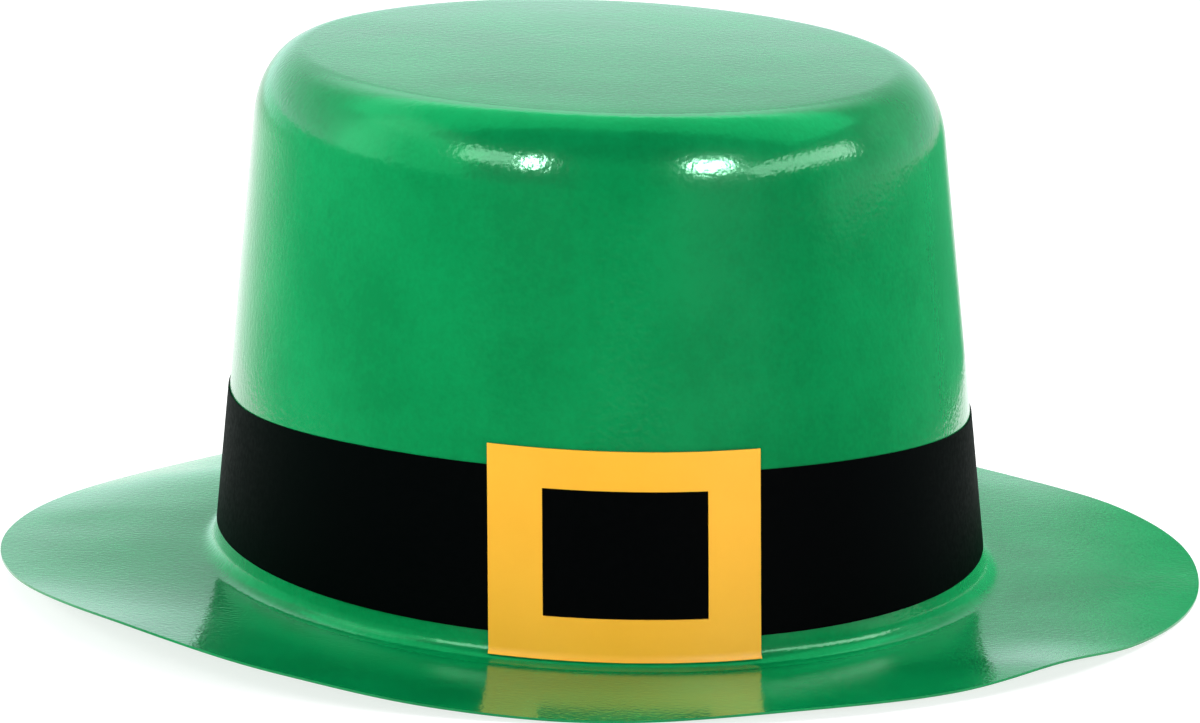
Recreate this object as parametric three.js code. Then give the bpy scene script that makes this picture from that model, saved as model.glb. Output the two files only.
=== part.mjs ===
import * as THREE from 'three';

// A thermoformed plastic party hat: an oval crown on a wavy brim, a black band and an amber buckle frame.
// Millimetres. +Z is up, the buckle faces -Y, and the brim stands on z = 0 with its plan centred on the
// origin. Azimuths are in degrees, counted from +X towards +Y, so the front is at 270 and the back at 90.

// Crown
const crownHalfWidth = 85.5; // side to side, where the wall would meet the brim
const crownHalfLength = 102.3; // front to back, where the wall would meet the brim
const crownHeight = 111.3; // from the brim's root to the flat top
const wallTaper = 0.099; // how far the wall comes in for each millimetre of height
const shoulderWidth = 10; // the shoulder's round, across the top
const shoulderDrop = 15; // the same round, down the wall
const rootRadius = 3.5; // fillet between the wall and the brim

// The hat was pulled from its mould a little askew: its level rings lean down to the right and to the
// front, and its axis sways to the left and to the back. Each is a rise or a shift for each millimetre.
const ringLean = { right: -0.019, back: 0.0165 };
const axisSway = { right: -0.0129, back: 0.0115 };

// Brim
const sheetThickness = 0.5;
const brimSideWidth = 47.4; // beyond the crown's foot, at the left and right
const brimEndWidth = 40.4; // beyond the crown's foot, at the front and back
const brimWave = 6; // the deepest dip of the edge from the flat brim
const brimCurl = 1.5; // power by which the waves grow from the root to the edge

// The waves of the brim's edge, as shares of brimWave
const brimFolds = [
  { azimuth: 0, rise: 0.15 },
  { azimuth: 20, rise: -0.03 },
  { azimuth: 38, rise: -0.33 },
  { azimuth: 70, rise: -0.38 },
  { azimuth: 110, rise: -0.58 },
  { azimuth: 137, rise: -0.93 },
  { azimuth: 165, rise: -0.53 },
  { azimuth: 195, rise: 0.16 },
  { azimuth: 218, rise: 0.75 },
  { azimuth: 238, rise: 0.48 },
  { azimuth: 252, rise: 0.14 },
  { azimuth: 266, rise: 0 },
  { azimuth: 284, rise: 0.35 },
  { azimuth: 300, rise: 0.44 },
  { azimuth: 312, rise: 0.7 },
  { azimuth: 324, rise: 0.38 },
  { azimuth: 345, rise: 0.12 },
];

// Band
const seatGap = 0.3; // between a piece and what it lies on
const bandThickness = 0.4;
const bandRise = 2.3; // from the top of the root fillet to the band's lower edge
const bandEndHeight = 34; // at the front and the back
const bandSideHeight = 29.7; // at the left and right
const bandSideCurve = 4; // power of the cosine by which the upper edge sinks towards the sides
const lapLength = 15; // of the strip's two ends, one over the other at the back
const lapRamp = 9; // length over which the outer end climbs onto the inner one

// Buckle
const buckleThickness = 0.6;
const buckleWidth = 56;
const buckleOverBand = 4.4; // how far the frame stands above the band
const sideBar = 11;
const topBar = 8.1;
const bottomBar = 8.7;

// Finishes
const greenPlastic = { color: 0x00a358, roughness: 0.2 };
const blackStrip = { color: 0x030506, roughness: 0.45 };
const amberCard = { color: 0xf4b533, roughness: 0.4 };

// How finely the curves are cut
const azimuthSteps = 72;
const shoulderSteps = 6;
const rootSteps = 4;
const wallSteps = 3;
const brimSteps = 7;
const barSteps = 3;
const windowSteps = 8;
const lapSteps = 6;

const frontAzimuth = 270;
const backAzimuth = 90;
const fullTurn = 360;

// Sizes that follow from those above
const bandFoot = rootRadius + bandRise;
const buckleStandoff = seatGap + bandThickness + seatGap;
const shortOfRootEdge = Math.max(rootRadius - buckleStandoff, 0);
const buckleFoot = rootRadius - Math.sqrt(rootRadius ** 2 - shortOfRootEdge ** 2) + seatGap;
const buckleTop = bandFoot + bandEndHeight + buckleOverBand;

// Evenly spread values from the first up to, but without, the last
function spread(first, last, steps) {
  return Array.from({ length: steps }, (unused, step) => THREE.MathUtils.lerp(first, last, step / steps));
}

// The rise of the brim's edge at an azimuth: a smooth closed curve through the rows of brimFolds
function edgeRise(azimuth) {
  const count = brimFolds.length;
  const turned = ((azimuth % fullTurn) + fullTurn) % fullTurn;
  const fold = (index) => {
    const turns = Math.floor(index / count);
    const { azimuth: at, rise } = brimFolds[index - turns * count];
    return { at: at + turns * fullTurn, rise };
  };
  const next = brimFolds.findIndex((row) => row.azimuth > turned);
  const after = next < 0 ? count : next;
  const [p, a, b, q] = [after - 2, after - 1, after, after + 1].map(fold);
  const span = b.at - a.at;
  const share = (turned - a.at) / span;
  const slopeA = (b.rise - p.rise) / (b.at - p.at) * span;
  const slopeB = (q.rise - a.rise) / (q.at - a.at) * span;
  const square = share ** 2;
  const cube = share ** 3;
  const rise = (2 * cube - 3 * square + 1) * a.rise + (cube - 2 * square + share) * slopeA
    + (3 * square - 2 * cube) * b.rise + (cube - square) * slopeB;
  return rise * brimWave;
}

// A point of a level oval ring at a height above the brim's root, with the hat's lean and sway
function ringPoint(halfWidth, halfLength, height, azimuth) {
  const angle = THREE.MathUtils.degToRad(azimuth);
  const right = halfWidth * Math.cos(angle);
  const back = halfLength * Math.sin(angle);
  return new THREE.Vector3(
    right + axisSway.right * height,
    back + axisSway.back * height,
    height + ringLean.right * right + ringLean.back * back,
  );
}

// A point at a height beside the crown's wall, standing off from it
function wallPoint(height, standoff, azimuth) {
  const outward = standoff - wallTaper * height;
  return ringPoint(crownHalfWidth + outward, crownHalfLength + outward, height, azimuth);
}

// A quarter round between two lines that meet at a corner. Each line is a direction with the length that
// the round takes up on it. The points run from the first line to the second.
function quarterRound(corner, first, second, steps) {
  const points = [];
  for (let step = 0; step <= steps; step += 1) {
    const angle = step / steps * Math.PI / 2;
    points.push(corner.clone()
      .addScaledVector(first.direction, first.length * (1 - Math.sin(angle)))
      .addScaledVector(second.direction, second.length * (1 - Math.cos(angle))));
  }
  return points;
}

// The rings of the hat's outer face from the flat top down the wall and out over the brim. Each ring is
// the crown's foot oval moved outward by a distance, or for the brim a share of the way to its edge.
function shellRings() {
  const inward = new THREE.Vector2(-1, 0);
  const outward = new THREE.Vector2(1, 0);
  const upWall = new THREE.Vector2(-wallTaper, 1);
  const downWall = new THREE.Vector2(wallTaper, -1);
  const shoulder = quarterRound(
    new THREE.Vector2(-wallTaper * crownHeight, crownHeight),
    { direction: inward, length: shoulderWidth },
    { direction: downWall, length: shoulderDrop },
    shoulderSteps,
  );
  const root = quarterRound(
    new THREE.Vector2(0, 0),
    { direction: outward, length: rootRadius },
    { direction: upWall, length: rootRadius },
    rootSteps,
  ).reverse();
  const profile = [...shoulder];
  for (let step = 1; step < wallSteps; step += 1) {
    profile.push(shoulder[shoulderSteps].clone().lerp(root[0], step / wallSteps));
  }
  profile.push(...root);
  const rings = profile.map(({ x, y }) => ({ outward: x, height: y }));
  for (let step = 1; step <= brimSteps; step += 1) {
    rings.push({ outward: rootRadius, height: 0, brimShare: step / brimSteps });
  }
  return rings;
}

function shellPoint({ outward, height, brimShare = 0 }, azimuth) {
  const halfWidth = THREE.MathUtils.lerp(
    crownHalfWidth + outward, crownHalfWidth + brimSideWidth, brimShare);
  const halfLength = THREE.MathUtils.lerp(
    crownHalfLength + outward, crownHalfLength + brimEndWidth, brimShare);
  const point = ringPoint(halfWidth, halfLength, height, azimuth);
  point.z += edgeRise(azimuth) * brimShare ** brimCurl;
  return point;
}

function geometryFrom(points, triangles) {
  const geometry = new THREE.BufferGeometry();
  const positions = points.flatMap((point) => point.toArray());
  geometry.setAttribute('position', new THREE.Float32BufferAttribute(positions, 3));
  geometry.setIndex(triangles.flat());
  geometry.computeVertexNormals();
  return geometry;
}

// Crown and brim: the outer face, a copy of it moved inward by the sheet's thickness, and the cut edge
function shellGeometry() {
  const rings = shellRings();
  const outer = [ringPoint(0, 0, crownHeight, 0)];
  for (const ring of rings) {
    for (let column = 0; column < azimuthSteps; column += 1) {
      outer.push(shellPoint(ring, column / azimuthSteps * fullTurn));
    }
  }
  const at = (ring, column) => 1 + ring * azimuthSteps + column % azimuthSteps;
  const faces = [];
  for (let column = 0; column < azimuthSteps; column += 1) {
    faces.push([0, at(0, column), at(0, column + 1)]);
    for (let ring = 0; ring + 1 < rings.length; ring += 1) {
      faces.push([at(ring, column), at(ring + 1, column), at(ring + 1, column + 1)]);
      faces.push([at(ring, column), at(ring + 1, column + 1), at(ring, column + 1)]);
    }
  }
  const normals = geometryFrom(outer, faces).getAttribute('normal');
  const inner = outer.map((point, index) => new THREE.Vector3()
    .fromBufferAttribute(normals, index).multiplyScalar(-sheetThickness).add(point));
  const inside = outer.length;
  const closed = [...faces, ...faces.map(([a, b, c]) => [inside + a, inside + c, inside + b])];
  const edge = rings.length - 1;
  for (let column = 0; column < azimuthSteps; column += 1) {
    const [a, b] = [at(edge, column), at(edge, column + 1)];
    closed.push([a, inside + a, inside + b], [a, inside + b, b]);
  }
  return geometryFrom([...outer, ...inner], closed);
}

// A curved plate cut into cells: pointAt(column, row, face) gives its corners, with face 0 the inner side
// and face 1 the outer one, and isCut(column, row) says which cells are left out.
function plateGeometry(columns, rows, pointAt, isCut = () => false) {
  const points = [];
  const at = (column, row, face) => (column * (rows + 1) + row) * 2 + face;
  for (let column = 0; column <= columns; column += 1) {
    for (let row = 0; row <= rows; row += 1) {
      points.push(pointAt(column, row, 0), pointAt(column, row, 1));
    }
  }
  const isSolid = (column, row) => column >= 0 && row >= 0 && column < columns && row < rows
    && !isCut(column, row);
  const triangles = [];
  const addQuad = (a, b, c, d) => triangles.push([a, b, c], [a, c, d]);
  for (let column = 0; column < columns; column += 1) {
    for (let row = 0; row < rows; row += 1) {
      if (!isSolid(column, row)) continue;
      const corners = [[column, row], [column + 1, row], [column + 1, row + 1], [column, row + 1]];
      const outer = corners.map(([c, r]) => at(c, r, 1));
      const inner = corners.map(([c, r]) => at(c, r, 0));
      addQuad(...outer);
      addQuad(...[...inner].reverse());
      const beside = [[column, row - 1], [column + 1, row], [column, row + 1], [column - 1, row]];
      beside.forEach(([c, r], side) => {
        if (isSolid(c, r)) return;
        const next = (side + 1) % corners.length;
        addQuad(inner[side], inner[next], outer[next], outer[side]);
      });
    }
  }
  return geometryFrom(points, triangles);
}

// The band: one strip that starts at the back, goes once round and laps over its own start
function bandGeometry() {
  const backDegrees = (length) => THREE.MathUtils.radToDeg(length / crownHalfWidth);
  const start = backAzimuth - backDegrees(lapLength) / 2;
  const end = start + fullTurn + backDegrees(lapLength);
  const rampEnd = start + fullTurn - backDegrees(seatGap);
  const rampStart = rampEnd - backDegrees(lapRamp);
  const shellAzimuths = spread(0, 2 * fullTurn, 2 * azimuthSteps);
  const azimuths = [
    start,
    ...shellAzimuths.filter((azimuth) => azimuth > start && azimuth < rampStart),
    ...spread(rampStart, rampEnd, lapSteps),
    ...spread(rampEnd, end, lapSteps),
    end,
  ];
  const pointAt = (column, row, face) => {
    const azimuth = azimuths[column];
    const climb = THREE.MathUtils.smoothstep(azimuth, rampStart, rampEnd);
    const standoff = seatGap + climb * (bandThickness + seatGap) + face * bandThickness;
    const sideShare = Math.abs(Math.cos(THREE.MathUtils.degToRad(azimuth))) ** bandSideCurve;
    const height = bandFoot + row * THREE.MathUtils.lerp(bandEndHeight, bandSideHeight, sideShare);
    return wallPoint(height, standoff, azimuth);
  };
  return plateGeometry(azimuths.length - 1, 1, pointAt);
}

// The buckle: a frame bent round the front of the band, with a rectangular window
function buckleGeometry() {
  const half = buckleWidth / 2;
  const windowHalf = half - sideBar;
  const across = [
    ...spread(-half, -windowHalf, barSteps),
    ...spread(-windowHalf, windowHalf, windowSteps),
    ...spread(windowHalf, half, barSteps),
    half,
  ];
  const heights = [buckleFoot, buckleFoot + bottomBar, buckleTop - topBar, buckleTop];
  const pointAt = (column, row, face) => {
    const reach = crownHalfWidth + buckleStandoff - wallTaper * heights[row];
    const turn = THREE.MathUtils.radToDeg(Math.asin(across[column] / reach));
    return wallPoint(heights[row], buckleStandoff + face * buckleThickness, frontAzimuth + turn);
  };
  const isCut = (column, row) => row === 1 && column >= barSteps && column < barSteps + windowSteps;
  return plateGeometry(across.length - 1, heights.length - 1, pointAt, isCut);
}

function piece(name, geometry, finish) {
  const mesh = new THREE.Mesh(geometry, new THREE.MeshStandardMaterial({ ...finish, metalness: 0 }));
  mesh.name = name;
  return mesh;
}

const shell = shellGeometry();
shell.computeBoundingBox();
const { min: low, max: high } = shell.boundingBox;

const hat = new THREE.Group();
hat.add(
  piece('hat_shell', shell, greenPlastic),
  piece('hat_band', bandGeometry(), blackStrip),
  piece('buckle', buckleGeometry(), amberCard),
);
hat.position.set(-(low.x + high.x) / 2, -(low.y + high.y) / 2, -low.z);

export default hat;
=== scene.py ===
import math
from collections import namedtuple

import bpy
import numpy as np
from mathutils import Matrix, Vector, noise


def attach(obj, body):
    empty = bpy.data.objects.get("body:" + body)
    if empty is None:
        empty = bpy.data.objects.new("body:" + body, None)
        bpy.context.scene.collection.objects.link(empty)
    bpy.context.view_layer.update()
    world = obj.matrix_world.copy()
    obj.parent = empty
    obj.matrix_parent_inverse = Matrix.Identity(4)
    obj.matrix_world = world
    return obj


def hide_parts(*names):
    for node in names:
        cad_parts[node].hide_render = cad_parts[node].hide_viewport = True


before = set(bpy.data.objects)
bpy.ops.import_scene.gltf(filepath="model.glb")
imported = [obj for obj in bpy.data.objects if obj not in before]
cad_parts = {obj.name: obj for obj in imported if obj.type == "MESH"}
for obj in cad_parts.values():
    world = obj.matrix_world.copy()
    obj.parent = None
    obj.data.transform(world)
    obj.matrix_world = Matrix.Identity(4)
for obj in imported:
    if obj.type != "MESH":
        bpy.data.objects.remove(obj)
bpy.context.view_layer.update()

# A green party top hat in one thin formed sheet, with a black strip and an amber card buckle.
# Metres, +Z up, the buckle faces -Y. Heights are above the crown's root, where its wall meets the brim.
# Azimuths are in degrees from +X, so that the front is 270 and the back is 90.
FRONT = 270
BACK = 90

# Crown
CROWN_HALF_WIDTH = 0.0855
CROWN_HALF_LENGTH = 0.1023
CROWN_HEIGHT = 0.1113
WALL_TAPER = 0.099
SHOULDER_WIDTH = 0.010
SHOULDER_DROP = 0.015
TOP_DOME = 0.0012
ROOT_RADIUS = 0.0035
SHEET_THICKNESS = 0.0005
# The formed rings lean and shift a little, as shares of the distance from the middle and of the height
LEAN_RIGHT, LEAN_BACK = -0.019, 0.0165
SWAY_RIGHT, SWAY_BACK = -0.0129, 0.0115

# Brim, with how far its edge rises at each azimuth as a share of the full wave
BRIM_SIDE_WIDTH = 0.0474
BRIM_END_WIDTH = 0.0404
BRIM_WAVE = 0.006
BRIM_CURL = 1.5
Fold = namedtuple("Fold", "azimuth rise")
BRIM_FOLDS = [
    Fold(0, 0.15), Fold(20, -0.03), Fold(38, -0.33), Fold(70, -0.38), Fold(110, -0.58), Fold(137, -0.93),
    Fold(165, -0.53), Fold(195, 0.16), Fold(218, 0.75), Fold(238, 0.48), Fold(252, 0.14), Fold(266, 0.0),
    Fold(284, 0.35), Fold(300, 0.44), Fold(312, 0.7), Fold(324, 0.38), Fold(345, 0.12),
]

# Forming marks: slow swells of the sheet, with how wide and how high they are
SWELL_WIDTH = 0.024
SWELL_HEIGHT = 0.00012
BRIM_SWELL_WIDTH = 0.030
BRIM_SWELL_HEIGHT = 0.0002

# Strip and buckle, drawn closer to the wall than their solids, as thin printed stock lies
STRIP_GAP = 0.00006
STRIP_THICKNESS = 0.00022
STRIP_RISE = 0.0023
STRIP_END_HEIGHT = 0.034
STRIP_SIDE_HEIGHT = 0.0297
STRIP_SIDE_CURVE = 4
LAP_LENGTH = 0.015
LAP_RAMP = 0.009
BUCKLE_THICKNESS = 0.0004
BUCKLE_WIDTH = 0.056
BUCKLE_FOOT = 0.0013
BUCKLE_OVER_STRIP = 0.0044
SIDE_BAR = 0.011
TOP_BAR = 0.0081
BOTTOM_BAR = 0.0087
BUCKLE_EDGE = 0.00008

STRIP_FOOT = ROOT_RADIUS + STRIP_RISE
BUCKLE_STANDOFF = STRIP_GAP + STRIP_THICKNESS + STRIP_GAP
BUCKLE_TOP = STRIP_FOOT + STRIP_END_HEIGHT + BUCKLE_OVER_STRIP

# Steps of the shell's grid
AZIMUTH_STEPS = 336
TOP_STEPS = 14
SHOULDER_STEPS = 16
WALL_STEPS = 26
ROOT_STEPS = 8
BRIM_STEPS = 26

# Steps of the strip and of the buckle's bars and window
STRIP_ROWS = 8
BAR_COLUMNS = 6
WINDOW_COLUMNS = 24
BOTTOM_BAR_ROWS = 10
WINDOW_ROWS = 10
TOP_BAR_ROWS = 5

# Edges past these angles in degrees stay crisp, and the card's are rounded past the last one
SHEET_CRISP = 50
CARD_CRISP = 40
CARD_ROUNDED = 50

# Marks in the materials: how wide they are, and how deep where they are bump
CLOUD_WIDTH = 0.030
MOTTLE_WIDTH = 0.004
GRAIN_WIDTH = 0.0012
GRAIN_DEPTH = 0.00005
WAVE_WIDTH = 0.006
WAVE_DEPTH = 0.00004
WAVE_STRENGTH = 0.25
FIBRE_WIDTH = 0.0012
PULP_WIDTH = 0.0015
PRINT_CLOUD_WIDTH = 0.012
PAPER_DEPTH = 0.00002
PAPER_STRENGTH = 0.4
WEAVE_WIDTH = 0.002
SPECK_WIDTH = 0.02

# Linear colours of the surfaces, in their darkest and lightest spots
GREEN_COLOURS = ((0.0, 0.165, 0.044), (0.0, 0.215, 0.060))
BLACK_COLOURS = ((0.0004, 0.0005, 0.0008), (0.0008, 0.0009, 0.0012))
AMBER_COLOURS = ((0.945, 0.430, 0.022), (0.97, 0.450, 0.026))
FLAG_COLOURS = ((0.05, 0.05, 0.05), (0.06, 0.06, 0.06))
FLOOR_COLOURS = ((0.34, 0.34, 0.34), (0.36, 0.36, 0.36))

# The camera stands where the photograph was taken from, about 1.2 m in front and a little above
CAMERA_PLACE = Vector((-0.06694, -1.16864, 0.272725))
CAMERA_FORWARD = Vector((0.055738, 0.980079, -0.190624))
CAMERA_RIGHT = Vector((0.998441, -0.054156, 0.013503))
CAMERA_LENS = 161.3
SENSOR_WIDTH = 36.0
CAMERA_REACH = 50

# The studio's boxes stand round a point at the front of the shoulder and face it. A side is in degrees to
# the right of the camera's side, an elevation in degrees above the horizon.
LIT_POINT = Vector((0.0, -0.09, 0.11))
Box = namedtuple("Box", "name side elevation distance width height radiance")
# White boxes that show in the gloss alone: the two glints, and the paler cards beside them
HIGHLIGHTS = [
    Box("left_key", -34.2, 29.2, 1.4, 0.16, 0.25, 110),
    Box("right_key", 42.1, 28.8, 1.4, 0.34, 0.25, 100),
    Box("left_card", -54, 29.5, 1.4, 0.48, 0.32, 8),
    Box("far_left_card", -88, 38, 1.4, 0.9, 0.34, 0.5),
    Box("right_card", 80, 21, 1.4, 1.2, 0.24, 7),
]
# Green boxes that show in the gloss alone and keep the wall's reflections green
SCREENS = [
    Box("left_screen", -84, 11, 1.4, 1.4, 1.3, 2.4),
    Box("middle_screen", 8, 17, 1.4, 1.3, 1.08, 0.9),
    Box("right_screen", 74, 12, 1.4, 1.2, 0.75, 0.3),
]
# White boxes that light the colours and don't show in the gloss
FILLS = [
    Box("left_fill", -105, 22, 1.2, 0.5, 0.4, 15),
    Box("right_fill", 128, 22, 1.2, 0.5, 0.4, 23),
    Box("left_front_fill", -34, 14, 1.6, 1.0, 0.6, 4.7),
    Box("right_front_fill", 46, 14, 1.6, 1.2, 0.6, 5.9),
    Box("back_fill", 180, 60, 1.4, 0.8, 0.5, 6.5),
]
# Panels that hang over the back of the hat and face down: a white one for the colours, and a green one,
# a little lower, for the gloss
Panel = namedtuple("Panel", "name back up width depth radiance")
BACK_PANEL = Panel("back_panel", 0.38, 1.3, 2.4, 1.2, 1.5)
BACK_SHEEN = Panel("back_sheen", 0.38, 1.2, 3.2, 1.2, 2.3)
# Colours of the light: plain white, and the green that the studio bounces back into the sheet
WHITE = (1.0, 1.0, 1.0)
GREEN_BOUNCE = (0.04, 1.0, 0.40)

# Curved panels that stand round the hat out of sight, keep the crown's sides from going pale and bounce a
# little green. Each goes from one side to another, and fades out at both ends over a number of degrees.
Flag = namedtuple("Flag", "name first_side last_side first_fade last_fade distance height bounce")
FLAGS = [
    Flag("left_flag", -160, 12, 55, 30, 0.33, 0.13, 1.3),
    Flag("right_flag", -2, 155, 30, 10, 0.30, 0.085, 0.45),
]
FLAG_STEPS = 60

# The surround's brightness, by fades from a first to a last value while a look goes from start to end along
# a way: right, back and up are the parts of its unit direction, and aside is right without its sign
Fade = namedtuple("Fade", "name way start end first last")
FADES = [
    Fade("below_overhead", "up", 0.74, 0.80, 1.0, 0.0),
    Fade("behind", "back", -0.35, 0.15, 0.0, 1.0),
    Fade("left_to_right", "right", -0.6, 0.6, 1.18, 0.54),
    Fade("near_horizon", "up", 0.0, 0.25, 1.5, 0.85),
    Fade("higher", "up", 0.2, 0.5, 1.0, 0.55),
    Fade("middle", "aside", 0.15, 0.6, 1.0, 0.0),
    Fade("middle_rise", "up", 0.3, 0.6, 0.0, 1.6),
    Fade("left_wall", "right", -0.9, -0.45, 0.45, 0.0),
    Fade("left_wall_top", "up", 0.6, 0.8, 1.0, 0.0),
]
SURROUND_COLOUR = (0.78, 1.0, 1.0)
DIMMEST_SURROUND = 0.12

FLOOR_HALF_SIZE = 6.0
FLOOR_GLOW = 0.75


def edge_rise(azimuth):
    """How far the brim's edge stands above the root's plane, by a smooth curve through the folds."""
    places = np.array([fold.azimuth for fold in BRIM_FOLDS], float)
    rises = np.array([fold.rise for fold in BRIM_FOLDS], float)
    wide_places = np.concatenate((places[-2:] - 360, places, places[:2] + 360))
    wide_rises = np.concatenate((rises[-2:], rises, rises[:2]))
    slopes = (wide_rises[2:] - wide_rises[:-2]) / (wide_places[2:] - wide_places[:-2])
    turned = np.mod(azimuth, 360.0)
    first = np.searchsorted(places, turned, side="right") + 1
    span = wide_places[first + 1] - wide_places[first]
    s = (turned - wide_places[first]) / span
    share = (
        (2 * s**3 - 3 * s**2 + 1) * wide_rises[first]
        + (s**3 - 2 * s**2 + s) * slopes[first - 1] * span
        + (3 * s**2 - 2 * s**3) * wide_rises[first + 1]
        + (s**3 - s**2) * slopes[first] * span
    )
    return BRIM_WAVE * share


def ring(half_width, half_length, height, azimuth):
    """Points of an oval ring of the formed sheet."""
    angle = np.radians(azimuth)
    right = half_width * np.cos(angle)
    back = half_length * np.sin(angle)
    lean = LEAN_RIGHT * right + LEAN_BACK * back
    sway_right = SWAY_RIGHT * height
    sway_back = SWAY_BACK * height
    return np.stack((right + sway_right, back + sway_back, height + lean), axis=-1)


def wall_point(height, standoff, azimuth):
    """A point at a height on the crown's wall, or standing off it."""
    outward = standoff - WALL_TAPER * height
    return ring(CROWN_HALF_WIDTH + outward, CROWN_HALF_LENGTH + outward, height, azimuth)


def root_round(height):
    """How far the round at the root stands out from the wall at a height."""
    short = np.maximum(ROOT_RADIUS - height, 0.0)
    return ROOT_RADIUS - np.sqrt(ROOT_RADIUS**2 - short**2)


def quarter_round(corner, first, second, steps):
    """Points of a quarter oval in a corner, from where first ends to where second ends."""
    points = []
    for k in range(steps + 1):
        angle = math.pi / 2 * k / steps
        along_first = first * (1 - math.sin(angle))
        along_second = second * (1 - math.cos(angle))
        points.append(corner + along_first + along_second)
    return points


def profile():
    """The section of the shoulder, wall and root from the flat top down, as outward and height."""
    top_corner = Vector((-WALL_TAPER * CROWN_HEIGHT, CROWN_HEIGHT))
    inward = Vector((-SHOULDER_WIDTH, 0))
    down_wall = Vector((WALL_TAPER, -1)) * SHOULDER_DROP
    shoulder = quarter_round(top_corner, inward, down_wall, SHOULDER_STEPS)
    outward = Vector((ROOT_RADIUS, 0))
    up_wall = Vector((-WALL_TAPER, 1)) * ROOT_RADIUS
    root = quarter_round(Vector((0, 0)), up_wall, outward, ROOT_STEPS)
    wall = [shoulder[-1].lerp(root[0], k / WALL_STEPS) for k in range(1, WALL_STEPS)]
    return shoulder + wall + root


def outer_rows(azimuth):
    """The outer face of the sheet, row by row from near the middle of the top to the brim's edge."""
    section = profile()
    flat = section[0].x
    rows = []
    for k in range(1, TOP_STEPS):
        share = k / TOP_STEPS
        half_width = (CROWN_HALF_WIDTH + flat) * share
        half_length = (CROWN_HALF_LENGTH + flat) * share
        height = CROWN_HEIGHT + TOP_DOME * (1 - share**2)
        rows.append(ring(half_width, half_length, height, azimuth))
    for point in section:
        rows.append(ring(CROWN_HALF_WIDTH + point.x, CROWN_HALF_LENGTH + point.x, point.y, azimuth))
    edge = edge_rise(azimuth)
    for k in range(1, BRIM_STEPS + 1):
        share = k / BRIM_STEPS
        half_width = CROWN_HALF_WIDTH + ROOT_RADIUS + share * (BRIM_SIDE_WIDTH - ROOT_RADIUS)
        half_length = CROWN_HALF_LENGTH + ROOT_RADIUS + share * (BRIM_END_WIDTH - ROOT_RADIUS)
        row = ring(half_width, half_length, 0.0, azimuth)
        row[:, 2] += edge * share**BRIM_CURL
        swells = np.array([noise.noise(Vector(p) / BRIM_SWELL_WIDTH) for p in row])
        row[:, 2] += swells * 4 * share * (1 - share) * BRIM_SWELL_HEIGHT
        rows.append(row)
    return np.array(rows)


def grid_normals(grid):
    """Unit normals of a closed grid of rows by azimuth, facing out of the hat."""
    along = np.gradient(grid, axis=0)
    around = np.roll(grid, -1, axis=1) - np.roll(grid, 1, axis=1)
    normals = np.cross(along, around)
    return normals / np.linalg.norm(normals, axis=2, keepdims=True)


def swell(points):
    """The slow swells of the sheet at each point, all inward, so that the strip stays clear of them."""
    return np.array([noise.noise(Vector(p) / SWELL_WIDTH) - 1 for p in points]) * SWELL_HEIGHT / 2


def shell_mesh():
    """Points and faces of the formed sheet: outer face, inner face and the cut edge of the brim."""
    azimuth = np.arange(AZIMUTH_STEPS) * 360.0 / AZIMUTH_STEPS
    grid = outer_rows(azimuth)
    normals = grid_normals(grid)
    count, around = grid.shape[:2]
    lift = swell(grid.reshape(-1, 3)).reshape(count, around, 1)
    outer = grid + normals * lift
    inner = outer - normals * SHEET_THICKNESS
    middle = outer[0].mean(axis=0)
    under_middle = middle - np.array((0, 0, SHEET_THICKNESS))
    points = [*outer.reshape(-1, 3), *inner.reshape(-1, 3), middle, under_middle]
    inner_start = count * around
    middle_index = 2 * inner_start
    last = inner_start - around
    faces = []
    for j in range(around):
        after = (j + 1) % around
        faces.append((middle_index, j, after))
        faces.append((middle_index + 1, inner_start + after, inner_start + j))
        for i in range(count - 1):
            a, b = i * around + j, i * around + after
            c, d = a + around, b + around
            faces.append((a, c, d, b))
            faces.append((inner_start + a, inner_start + b, inner_start + d, inner_start + c))
        faces.append((last + j, inner_start + last + j, inner_start + last + after, last + after))
    return np.array(points), faces


def plate(columns, rows, point_at, is_cut=None):
    """Points and faces of a thin closed plate over a grid; point_at gives its inner and outer face."""
    points = []
    for column in columns:
        for row in rows:
            inner, outer = point_at(column, row)
            points.extend((inner, outer))

    def corner(i, j, face):
        return 2 * (i * len(rows) + j) + face

    def kept(i, j):
        inside = 0 <= i < len(columns) - 1 and 0 <= j < len(rows) - 1
        return inside and not (is_cut and is_cut(i, j))

    faces = []
    for i in range(len(columns) - 1):
        for j in range(len(rows) - 1):
            if not kept(i, j):
                continue
            inner = [corner(i, j, 0), corner(i + 1, j, 0), corner(i + 1, j + 1, 0), corner(i, j + 1, 0)]
            outer = [corner(i, j, 1), corner(i + 1, j, 1), corner(i + 1, j + 1, 1), corner(i, j + 1, 1)]
            faces.append(outer)
            faces.append(inner[::-1])
            beside = [kept(i, j - 1), kept(i + 1, j), kept(i, j + 1), kept(i - 1, j)]
            for side, joined in enumerate(beside):
                if not joined:
                    after = (side + 1) % 4
                    faces.append((inner[side], inner[after], outer[after], outer[side]))
    used = sorted({v for face in faces for v in face})
    place = {v: k for k, v in enumerate(used)}
    return np.array([points[v] for v in used]), [tuple(place[v] for v in face) for face in faces]


def smooth_step(t):
    """0 to 1 with level ends."""
    t = min(max(t, 0.0), 1.0)
    return t * t * (3 - 2 * t)


def spread(first, last, steps):
    """Evenly spaced values with both ends."""
    return [first + (last - first) * k / steps for k in range(steps + 1)]


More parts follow.
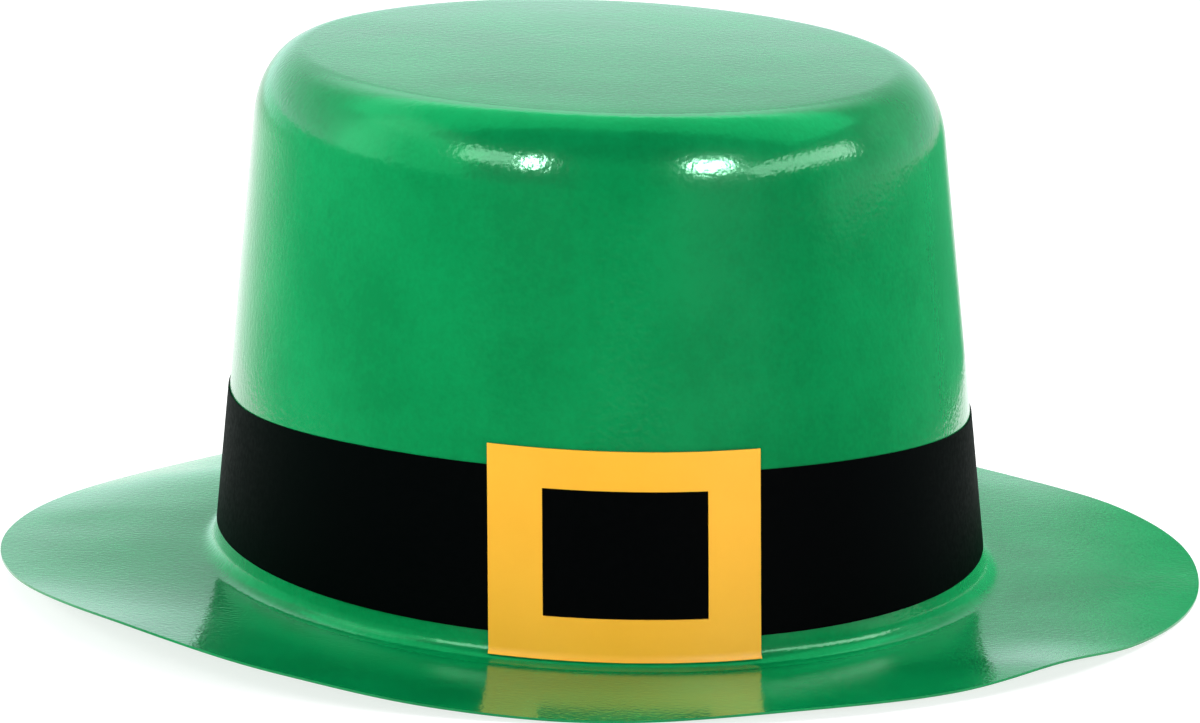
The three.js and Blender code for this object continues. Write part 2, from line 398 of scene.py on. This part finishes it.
def strip_mesh():
    """The black strip, once round the crown with its end lapped over its start at the back."""
    lap = math.degrees(LAP_LENGTH / CROWN_HALF_WIDTH)
    ramp = math.degrees(LAP_RAMP / CROWN_HALF_WIDTH)
    start = BACK - lap / 2
    end = start + 360 + lap
    columns = spread(start, end, AZIMUTH_STEPS)
    rows = spread(0.0, 1.0, STRIP_ROWS)

    def point_at(azimuth, share):
        climb = smooth_step((azimuth - (end - lap - ramp)) / ramp)
        standoff = STRIP_GAP + climb * (STRIP_THICKNESS + STRIP_GAP)
        narrowing = abs(math.cos(math.radians(azimuth))) ** STRIP_SIDE_CURVE
        tall = STRIP_END_HEIGHT + (STRIP_SIDE_HEIGHT - STRIP_END_HEIGHT) * narrowing
        height = STRIP_FOOT + tall * share
        inner = wall_point(height, standoff, azimuth)
        outer = wall_point(height, standoff + STRIP_THICKNESS, azimuth)
        return inner, outer

    return plate(columns, rows, point_at)


def buckle_mesh():
    """The amber frame, bent round the front of the crown, with its window cut out."""
    half = BUCKLE_WIDTH / 2
    across = spread(-half, -half + SIDE_BAR, BAR_COLUMNS)
    across += spread(-half + SIDE_BAR, half - SIDE_BAR, WINDOW_COLUMNS)[1:]
    across += spread(half - SIDE_BAR, half, BAR_COLUMNS)[1:]
    window_foot = BUCKLE_FOOT + BOTTOM_BAR
    window_top = BUCKLE_TOP - TOP_BAR
    heights = spread(BUCKLE_FOOT, window_foot, BOTTOM_BAR_ROWS)
    heights += spread(window_foot, window_top, WINDOW_ROWS)[1:]
    heights += spread(window_top, BUCKLE_TOP, TOP_BAR_ROWS)[1:]

    def point_at(side, height):
        standoff = max(BUCKLE_STANDOFF, root_round(height) + STRIP_GAP)
        radius = CROWN_HALF_WIDTH + BUCKLE_STANDOFF - WALL_TAPER * height
        azimuth = FRONT + math.degrees(math.asin(side / radius))
        inner = wall_point(height, standoff, azimuth)
        outer = wall_point(height, standoff + BUCKLE_THICKNESS, azimuth)
        return inner, outer

    def in_window(i, j):
        across_it = BAR_COLUMNS <= i < BAR_COLUMNS + WINDOW_COLUMNS
        return across_it and BOTTOM_BAR_ROWS <= j < BOTTOM_BAR_ROWS + WINDOW_ROWS

    return plate(across, heights, point_at, in_window)


def node_material(name):
    """A material with its node tree, and its main shader."""
    material = bpy.data.materials.new(name)
    material.use_nodes = True
    tree = material.node_tree
    shader = next(node for node in tree.nodes if node.type == "BSDF_PRINCIPLED")
    return material, tree, shader


def object_coordinates(tree):
    """The place on the object in metres."""
    return tree.nodes.new("ShaderNodeTexCoord").outputs["Object"]


def add_noise(tree, coordinates, width, detail, roughness=0.5):
    """A noise texture whose marks are about a width in metres across."""
    texture = tree.nodes.new("ShaderNodeTexNoise")
    texture.inputs["Scale"].default_value = 1 / width
    texture.inputs["Detail"].default_value = detail
    texture.inputs["Roughness"].default_value = roughness
    tree.links.new(coordinates, texture.inputs["Vector"])
    return texture.outputs["Fac"]


def add_range(tree, value, low, high, to_low, to_high):
    """Maps a value from one range to another, with level ends."""
    node = tree.nodes.new("ShaderNodeMapRange")
    node.interpolation_type = "SMOOTHSTEP"
    for name, number in (("From Min", low), ("From Max", high), ("To Min", to_low), ("To Max", to_high)):
        node.inputs[name].default_value = number
    tree.links.new(value, node.inputs["Value"])
    return node.outputs["Result"]


def add_math(tree, operation, *values):
    """A sum, product or the like of outputs and plain numbers."""
    node = tree.nodes.new("ShaderNodeMath")
    node.operation = operation
    for socket, value in zip(node.inputs, values):
        if isinstance(value, (int, float)):
            socket.default_value = value
        else:
            tree.links.new(value, socket)
    return node.outputs["Value"]


def add_colours(tree, value, low, high, colours):
    """A colour ramp that goes from the first to the last of two colours between two values."""
    ramp = tree.nodes.new("ShaderNodeValToRGB")
    for element, place, colour in zip(ramp.color_ramp.elements, (low, high), colours):
        element.position = place
        element.color = (*colour, 1)
    tree.links.new(value, ramp.inputs["Fac"])
    return ramp.outputs["Color"]


def add_bump(tree, height, distance, strength, below=None):
    """A bump from a height, over the bump below it if there is one."""
    bump = tree.nodes.new("ShaderNodeBump")
    bump.inputs["Distance"].default_value = distance
    bump.inputs["Strength"].default_value = strength
    tree.links.new(height, bump.inputs["Height"])
    if below:
        tree.links.new(below, bump.inputs["Normal"])
    return bump.outputs["Normal"]


def green_plastic():
    """Glossy green sheet with the fine embossed grain that speckles its highlights."""
    material, tree, shader = node_material("green_plastic")
    place = object_coordinates(tree)
    cloud = add_noise(tree, place, CLOUD_WIDTH, 3)
    mottle = add_noise(tree, place, MOTTLE_WIDTH, 2)
    grain = add_noise(tree, place, GRAIN_WIDTH, 1)
    wave = add_noise(tree, place, WAVE_WIDTH, 2)
    tone = add_math(tree, "MULTIPLY_ADD", mottle, 0.3, cloud)
    tone = add_math(tree, "MULTIPLY_ADD", grain, 0.35, tone)
    tree.links.new(add_colours(tree, tone, 0.65, 1.0, GREEN_COLOURS), shader.inputs["Base Color"])
    tree.links.new(add_range(tree, cloud, 0.3, 0.7, 0.13, 0.17), shader.inputs["Roughness"])
    waves = add_bump(tree, wave, WAVE_DEPTH, WAVE_STRENGTH)
    tree.links.new(add_bump(tree, grain, GRAIN_DEPTH, 1.0, waves), shader.inputs["Normal"])
    shader.inputs["IOR"].default_value = 1.5
    shader.inputs["Specular Tint"].default_value = (0.5, 1.0, 0.7, 1)
    return material


def black_strip():
    """Satin black paper strip with a faint fibre."""
    material, tree, shader = node_material("black_strip")
    fibre = add_noise(tree, object_coordinates(tree), FIBRE_WIDTH, 4, 0.6)
    tree.links.new(add_colours(tree, fibre, 0.3, 0.7, BLACK_COLOURS), shader.inputs["Base Color"])
    tree.links.new(add_range(tree, fibre, 0.3, 0.7, 0.5, 0.62), shader.inputs["Roughness"])
    tree.links.new(add_bump(tree, fibre, PAPER_DEPTH, PAPER_STRENGTH), shader.inputs["Normal"])
    shader.inputs["Specular IOR Level"].default_value = 0.008
    return material


def amber_card():
    """Printed amber card with a satin face and a faint pulp texture."""
    material, tree, shader = node_material("amber_card")
    place = object_coordinates(tree)
    pulp = add_noise(tree, place, PULP_WIDTH, 4, 0.6)
    cloud = add_noise(tree, place, PRINT_CLOUD_WIDTH, 2)
    tone = add_math(tree, "MULTIPLY_ADD", pulp, 0.4, cloud)
    tree.links.new(add_colours(tree, tone, 0.5, 0.9, AMBER_COLOURS), shader.inputs["Base Color"])
    tree.links.new(add_range(tree, pulp, 0.3, 0.7, 0.45, 0.55), shader.inputs["Roughness"])
    tree.links.new(add_bump(tree, pulp, PAPER_DEPTH, PAPER_STRENGTH), shader.inputs["Normal"])
    shader.inputs["Specular IOR Level"].default_value = 0.15
    return material


def make_object(name, points, faces, crisp):
    """A mesh piece of the hat with smooth shading and crisp edges past an angle."""
    mesh = bpy.data.meshes.new(name)
    mesh.from_pydata([tuple(p) for p in points], [], faces)
    mesh.validate()
    mesh.update()
    piece = bpy.data.objects.new(name, mesh)
    bpy.context.scene.collection.objects.link(piece)
    mesh.shade_smooth()
    mesh.set_sharp_from_angle(angle=math.radians(crisp))
    return piece


def round_edges(piece, width):
    """Rounds the crisp edges of a piece a little."""
    bevel = piece.modifiers.new("cut_edge", "BEVEL")
    bevel.width = width
    bevel.segments = 2
    bevel.limit_method = "ANGLE"
    bevel.angle_limit = math.radians(CARD_ROUNDED)


def rest_shift(points):
    """The move that rests the hat on the floor with its plan box centred on the origin."""
    low, high = points.min(axis=0), points.max(axis=0)
    return -np.array([(low[0] + high[0]) / 2, (low[1] + high[1]) / 2, low[2]])


def make_hat():
    """The three pieces, in the places of their solids."""
    Plan = namedtuple("Plan", "name mesh crisp edge node slot material")
    shell = shell_mesh()
    shift = rest_shift(shell[0])
    plans = [
        Plan("formed_sheet", shell, SHEET_CRISP, 0, "hat_shell", "green_plastic", green_plastic()),
        Plan("strip", strip_mesh(), CARD_CRISP, 0, "hat_band", "black_strip", black_strip()),
        Plan("buckle_frame", buckle_mesh(), CARD_CRISP, BUCKLE_EDGE, "buckle", "amber_card", amber_card()),
    ]
    for plan in plans:
        points, faces = plan.mesh
        piece = make_object(plan.name, points + shift, faces, plan.crisp)
        piece.data.materials.append(plan.material)
        if plan.edge:
            round_edges(piece, plan.edge)
        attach(piece, "root")
        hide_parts(plan.node)


def make_camera():
    """The camera at the photograph's place and angle."""
    camera_data = bpy.data.cameras.new("camera")
    camera_data.lens = CAMERA_LENS
    camera_data.sensor_width = SENSOR_WIDTH
    camera_data.sensor_fit = "HORIZONTAL"
    camera_data.clip_end = CAMERA_REACH
    camera = bpy.data.objects.new("camera", camera_data)
    bpy.context.scene.collection.objects.link(camera)
    backward = -CAMERA_FORWARD.normalized()
    up = backward.cross(CAMERA_RIGHT).normalized()
    right = up.cross(backward)
    turn = Matrix((right, up, backward)).transposed()
    camera.matrix_world = Matrix.Translation(CAMERA_PLACE) @ turn.to_4x4()
    bpy.context.scene.camera = camera


def direction(side, elevation):
    """A unit direction by degrees to the right of the camera's side and degrees above the horizon."""
    turn, tilt = math.radians(side), math.radians(elevation)
    level = math.cos(tilt)
    return Vector((level * math.sin(turn), -level * math.cos(turn), math.sin(tilt)))


def area_light(name, place, aim, width, height, radiance, colour, in_gloss):
    """A box of light that faces a point. It shows in the gloss alone, or it lights the colours alone."""
    data = bpy.data.lights.new(name, "AREA")
    data.shape = "RECTANGLE"
    data.size = width
    data.size_y = height
    data.energy = radiance * math.pi * width * height
    data.color = colour
    light = bpy.data.objects.new(name, data)
    light.location = place
    light.rotation_euler = (aim - place).to_track_quat("-Z", "Y").to_euler()
    light.visible_camera = False
    light.visible_diffuse = not in_gloss
    light.visible_glossy = in_gloss
    bpy.context.scene.collection.objects.link(light)


def place_boxes(boxes, colour, in_gloss):
    """Boxes of light round the lit point."""
    for box in boxes:
        place = LIT_POINT + direction(box.side, box.elevation) * box.distance
        area_light(box.name, place, LIT_POINT, box.width, box.height, box.radiance, colour, in_gloss)


def hang_panel(panel, colour, in_gloss):
    """A panel of light that faces straight down."""
    place = Vector((0.0, panel.back, panel.up))
    below = place - Vector((0, 0, 1))
    area_light(panel.name, place, below, panel.width, panel.depth, panel.radiance, colour, in_gloss)


def make_lights():
    """Some lights make the gloss and others light the colours, so that each can be set by itself."""
    place_boxes(HIGHLIGHTS, WHITE, True)
    place_boxes(SCREENS, GREEN_BOUNCE, True)
    place_boxes(FILLS, WHITE, False)
    hang_panel(BACK_PANEL, WHITE, False)
    hang_panel(BACK_SHEEN, GREEN_BOUNCE, True)


def flag_material(flag):
    """Dark cloth that glows a little green and is only as solid as its cover says."""
    material, tree, shader = node_material(flag.name)
    weave = add_noise(tree, object_coordinates(tree), WEAVE_WIDTH, 2)
    tree.links.new(add_colours(tree, weave, 0.3, 0.7, FLAG_COLOURS), shader.inputs["Base Color"])
    shader.inputs["Roughness"].default_value = 1.0
    shader.inputs["Specular IOR Level"].default_value = 0.0
    shader.inputs["Emission Color"].default_value = (*GREEN_BOUNCE, 1)
    shader.inputs["Emission Strength"].default_value = flag.bounce
    cover = tree.nodes.new("ShaderNodeAttribute")
    cover.attribute_name = "cover"
    tree.links.new(cover.outputs["Fac"], shader.inputs["Alpha"])
    return material


def flag_mesh(flag):
    """The curved panel, with how solid it is at each point as its cover."""
    sides = spread(flag.first_side, flag.last_side, FLAG_STEPS)
    feet = [direction(side, 0) * flag.distance for side in sides]
    heads = [foot + Vector((0, 0, flag.height)) for foot in feet]
    count = len(sides)
    faces = [(k, k + 1, count + k + 1, count + k) for k in range(count - 1)]
    mesh = bpy.data.meshes.new(flag.name)
    mesh.from_pydata(feet + heads, [], faces)
    covers = [
        smooth_step((side - flag.first_side) / flag.first_fade)
        * smooth_step((flag.last_side - side) / flag.last_fade)
        for side in sides
    ]
    attribute = mesh.attributes.new("cover", "FLOAT", "POINT")
    attribute.data.foreach_set("value", covers + covers)
    return mesh


def make_flags():
    """The flags show in the gloss alone and throw no shadow."""
    for flag in FLAGS:
        mesh = flag_mesh(flag)
        mesh.materials.append(flag_material(flag))
        panel = bpy.data.objects.new(flag.name, mesh)
        panel.visible_camera = False
        panel.visible_diffuse = False
        panel.visible_shadow = False
        bpy.context.scene.collection.objects.link(panel)


def make_world():
    """A pale surround behind the hat, brightest at the left and near the horizon."""
    world = bpy.data.worlds.new("studio")
    bpy.context.scene.world = world
    world.use_nodes = True
    tree = world.node_tree
    background = next(node for node in tree.nodes if node.type == "BACKGROUND")
    split = tree.nodes.new("ShaderNodeSeparateXYZ")
    look = tree.nodes.new("ShaderNodeTexCoord").outputs["Generated"]
    tree.links.new(look, split.inputs["Vector"])
    right, back, up = split.outputs
    ways = {"right": right, "back": back, "up": up, "aside": add_math(tree, "ABSOLUTE", right)}
    fades = {f.name: add_range(tree, ways[f.way], f.start, f.end, f.first, f.last) for f in FADES}

    def times(first, second):
        return add_math(tree, "MULTIPLY", first, second)

    sides = times(times(fades["left_to_right"], fades["near_horizon"]), fades["higher"])
    shades = add_math(tree, "ADD", sides, times(fades["middle"], fades["middle_rise"]))
    screen = times(times(fades["below_overhead"], fades["behind"]), shades)
    left_part = times(fades["left_wall"], fades["left_wall_top"])
    brightest = add_math(tree, "MAXIMUM", screen, left_part)
    light = add_math(tree, "MAXIMUM", brightest, DIMMEST_SURROUND)
    tree.links.new(light, background.inputs["Strength"])
    background.inputs["Color"].default_value = (*SURROUND_COLOUR, 1)


def make_floor():
    """A plain pale floor that is lit from within a little, as a light table is."""
    size = FLOOR_HALF_SIZE
    corners = [(-size, -size, 0), (size, -size, 0), (size, size, 0), (-size, size, 0)]
    mesh = bpy.data.meshes.new("floor")
    mesh.from_pydata(corners, [], [(0, 1, 2, 3)])
    floor = bpy.data.objects.new("floor", mesh)
    bpy.context.scene.collection.objects.link(floor)
    material, tree, shader = node_material("pale_floor")
    speck = add_noise(tree, object_coordinates(tree), SPECK_WIDTH, 3)
    tree.links.new(add_colours(tree, speck, 0.3, 0.7, FLOOR_COLOURS), shader.inputs["Base Color"])
    shader.inputs["Roughness"].default_value = 0.9
    shader.inputs["Specular IOR Level"].default_value = 0.0
    shader.inputs["Emission Color"].default_value = (1, 1, 1, 1)
    shader.inputs["Emission Strength"].default_value = FLOOR_GLOW
    mesh.materials.append(material)


make_camera()
make_hat()
make_floor()
make_lights()
make_flags()
make_world()
bpy.context.scene.view_settings.view_transform = "Standard"
